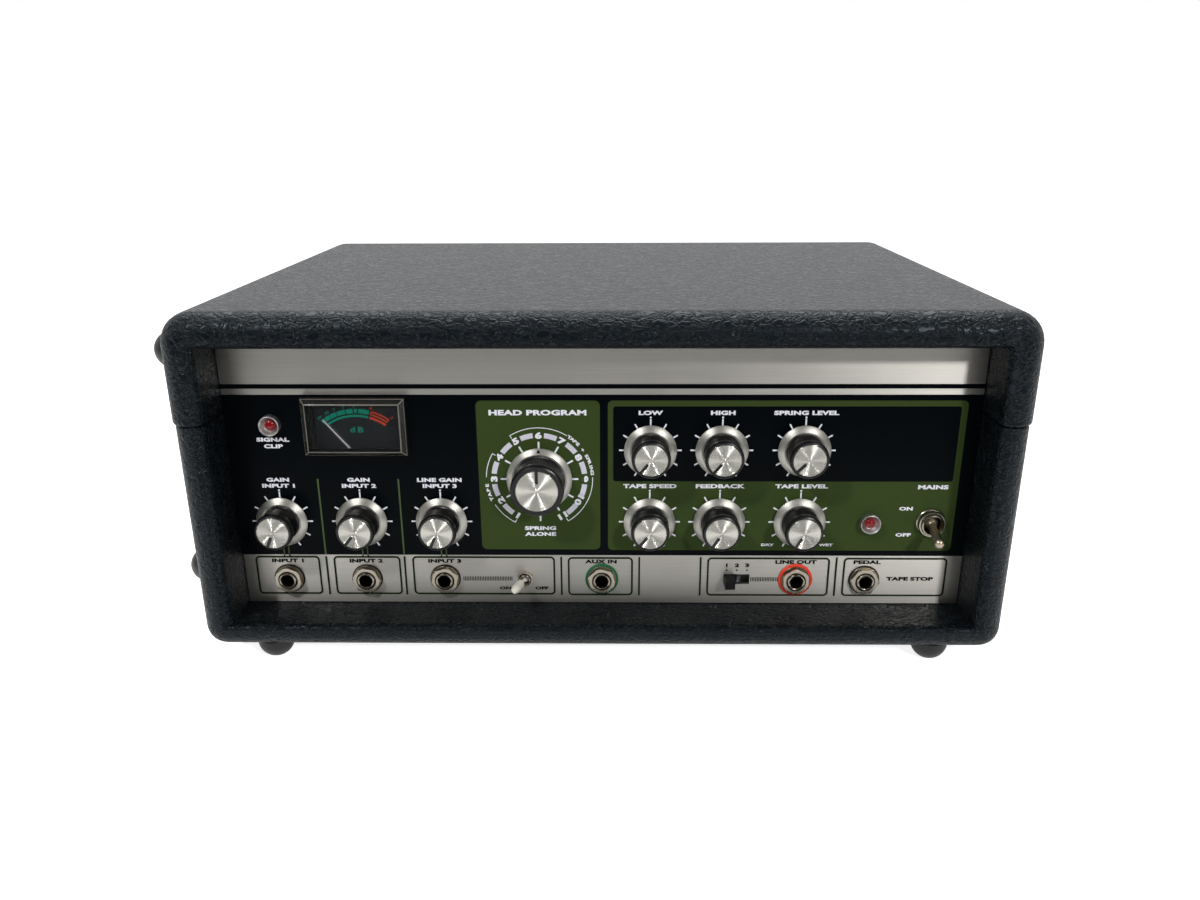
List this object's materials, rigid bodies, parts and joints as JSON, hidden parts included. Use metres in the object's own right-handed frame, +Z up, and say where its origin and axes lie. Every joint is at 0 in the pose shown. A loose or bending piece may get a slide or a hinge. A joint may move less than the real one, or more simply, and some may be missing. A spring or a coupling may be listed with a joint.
{
  "type": "tape echo unit",
  "caption": "Tabletop tape echo in a vinyl-covered case: recessed panel with knobs, selector, meter and sockets, lift-off lid over a tape-loop transport.",
  "frame": {"origin": "middle of the bounding box at the surface the unit stands on", "axes": "+Z up, the controls face -Y, +X to the right as seen from the front"},
  "size_m": [0.453, 0.31, 0.185],
  "materials": {
    "vinyl_on_plywood": "black crinkle-grain vinyl glued on plywood",
    "rubber": "moulded",
    "strap": "moulded",
    "chrome": "bright nickel plate",
    "steel": "zinc plate",
    "painted_steel": "satin black enamel",
    "aluminium": "brushed, printed black and green",
    "knob": "black body with silver skirt and cap",
    "black_plastic": "moulded",
    "green_plastic": "moulded",
    "red_plastic": "moulded",
    "white_plastic": "moulded",
    "dial": "printed dark grey card",
    "clear": "clear acrylic",
    "red_lens": "red acrylic",
    "tape": "oxide-coated film",
    "brass": "turned",
    "circuit_board": "phenolic board with parts"
  },
  "bodies": {
    "case": {"base_case": "vinyl_on_plywood", "base_feet": "rubber", "handle_brackets": "chrome", "rear_panel": "painted_steel", "cord_gland": "black_plastic", "fuse_holder": "black_plastic", "front_panel": "aluminium", "chassis": "steel", "transport_deck": "steel", "pots": "steel", "selector_switch": "steel", "jack_sockets": "chrome", "jack_nuts": "chrome", "jack_washers": "chrome", "jack_rings_black": "black_plastic", "jack_ring_green": "green_plastic", "jack_ring_red": "red_plastic", "power_switch": "chrome", "power_nut": "chrome", "mini_switch": "chrome", "slide_switch": "steel", "meter_case": "black_plastic", "meter_cover": "clear", "meter_dial": "dial", "lamp_bezels": "chrome", "lamp_lenses": "red_lens", "tape_bin": "black_plastic", "tape_loop": "tape", "tape_guides": "chrome", "head_block": "aluminium", "heads": "steel", "capstan_bearing": "brass", "motor": "steel", "drive_belt": "rubber", "solenoid": "steel", "electronics": "circuit_board"},
    "lid": {"lid": "vinyl_on_plywood", "lid_catches": "steel", "lid_feet": "rubber"},
    "handle": {"handle_strap": "strap"},
    "selector": {"selector_knob": "knob"},
    "power_toggle": {"power_lever": "chrome"},
    "small_toggle": {"mini_lever": "white_plastic"},
    "range_slider": {"slide_button": "black_plastic"},
    "needle": {"meter_needle": "white_plastic"},
    "bin_cover": {"tape_bin_cover": "clear"},
    "capstan": {"capstan": "steel"},
    "motor_pulley": {"motor_pulley": "brass"},
    "pinch_arm": {"pinch_arm": "steel"},
    "pinch_roller": {"pinch_roller": "rubber"},
    "plunger": {"plunger": "steel"},
    "input_1_knob": {"input_1_knob": "knob"},
    "input_2_knob": {"input_2_knob": "knob"},
    "input_3_knob": {"input_3_knob": "knob"},
    "bass_knob": {"bass_knob": "knob"},
    "treble_knob": {"treble_knob": "knob"},
    "reverb_knob": {"reverb_knob": "knob"},
    "rate_knob": {"rate_knob": "knob"},
    "intensity_knob": {"intensity_knob": "knob"},
    "echo_knob": {"echo_knob": "knob"}
  },
  "joints": [
    {"name": "lid_lift", "type": "slide", "parent": "case", "child": "lid", "axis": [0, 0, 1], "range_m": [0, 0.12]},
    {"name": "input_1_turn", "type": "hinge", "parent": "case", "child": "input_1_knob", "pos_m": [-0.1746, -0.127, 0.0721], "axis": [0, 1, 0], "range_deg": [0, 300]},
    {"name": "input_2_turn", "type": "hinge", "parent": "case", "child": "input_2_knob", "pos_m": [-0.1328, -0.127, 0.0721], "axis": [0, 1, 0], "range_deg": [0, 300]},
    {"name": "input_3_turn", "type": "hinge", "parent": "case", "child": "input_3_knob", "pos_m": [-0.091, -0.127, 0.0721], "axis": [0, 1, 0], "range_deg": [0, 300]},
    {"name": "bass_turn", "type": "hinge", "parent": "case", "child": "bass_knob", "pos_m": [0.01735, -0.127, 0.1111], "axis": [0, 1, 0], "range_deg": [0, 300]},
    {"name": "treble_turn", "type": "hinge", "parent": "case", "child": "treble_knob", "pos_m": [0.0535, -0.127, 0.1111], "axis": [0, 1, 0], "range_deg": [0, 300]},
    {"name": "reverb_turn", "type": "hinge", "parent": "case", "child": "reverb_knob", "pos_m": [0.0951, -0.127, 0.1111], "axis": [0, 1, 0], "range_deg": [0, 300]},
    {"name": "rate_turn", "type": "hinge", "parent": "case", "child": "rate_knob", "pos_m": [0.01735, -0.127, 0.0721], "axis": [0, 1, 0], "range_deg": [0, 300]},
    {"name": "intensity_turn", "type": "hinge", "parent": "case", "child": "intensity_knob", "pos_m": [0.0535, -0.127, 0.0721], "axis": [0, 1, 0], "range_deg": [0, 300]},
    {"name": "echo_turn", "type": "hinge", "parent": "case", "child": "echo_knob", "pos_m": [0.0951, -0.127, 0.0721], "axis": [0, 1, 0], "range_deg": [0, 300]},
    {"name": "selector_turn", "type": "hinge", "parent": "case", "child": "selector", "pos_m": [-0.03935, -0.127, 0.0956], "axis": [0, 1, 0], "range_deg": [-150, 180]},
    {"name": "power_tip", "type": "hinge", "parent": "case", "child": "power_toggle", "pos_m": [0.1629, -0.127, 0.0721], "axis": [-1, 0, 0], "range_deg": [0, 31.2]},
    {"name": "small_toggle_tip", "type": "hinge", "parent": "case", "child": "small_toggle", "pos_m": [-0.0484, -0.127, 0.0393], "axis": [0, 0, 1], "range_deg": [0, 32]},
    {"name": "range_slide", "type": "slide", "parent": "case", "child": "range_slider", "axis": [1, 0, 0], "range_m": [0, 0.008]},
    {"name": "needle_swing", "type": "hinge", "parent": "case", "child": "needle", "pos_m": [-0.1314, -0.123, 0.105], "axis": [0, 1, 0], "range_deg": [0, 80]},
    {"name": "handle_lift", "type": "slide", "parent": "case", "child": "handle", "axis": [1, 0, 0], "range_m": [0, 0.005]},
    {"name": "bin_cover_lift", "type": "slide", "parent": "case", "child": "bin_cover", "axis": [0, 0, 1], "range_m": [0, 0.02]},
    {"name": "capstan_spin", "type": "hinge", "parent": "case", "child": "capstan", "pos_m": [0.104, -0.0585, 0.0787], "axis": [0, 0, 1], "continuous": true},
    {"name": "pulley_spin", "type": "hinge", "parent": "case", "child": "motor_pulley", "pos_m": [0.027, -0.0585, 0.0787], "axis": [0, 0, 1], "continuous": true},
    {"name": "pinch_swing", "type": "hinge", "parent": "case", "child": "pinch_arm", "pos_m": [0.164, -0.0776, 0.1317], "axis": [0, 0, -1], "range_deg": [0, 3.4]},
    {"name": "roller_spin", "type": "hinge", "parent": "pinch_arm", "child": "pinch_roller", "pos_m": [0.104, -0.0776, 0.1407], "axis": [0, 0, 1], "continuous": true},
    {"name": "plunger_pull", "type": "slide", "parent": "case", "child": "plunger", "axis": [0, 1, 0], "range_m": [0, 0.0018]}
  ],
  "couplings": [
    {"joint": "pulley_spin", "follows": "capstan_spin", "ratio": 4},
    {"joint": "roller_spin", "follows": "capstan_spin", "ratio": -0.31818},
    {"joint": "plunger_pull", "follows": "pinch_swing", "m_per_rad": 0.03}
  ]
}
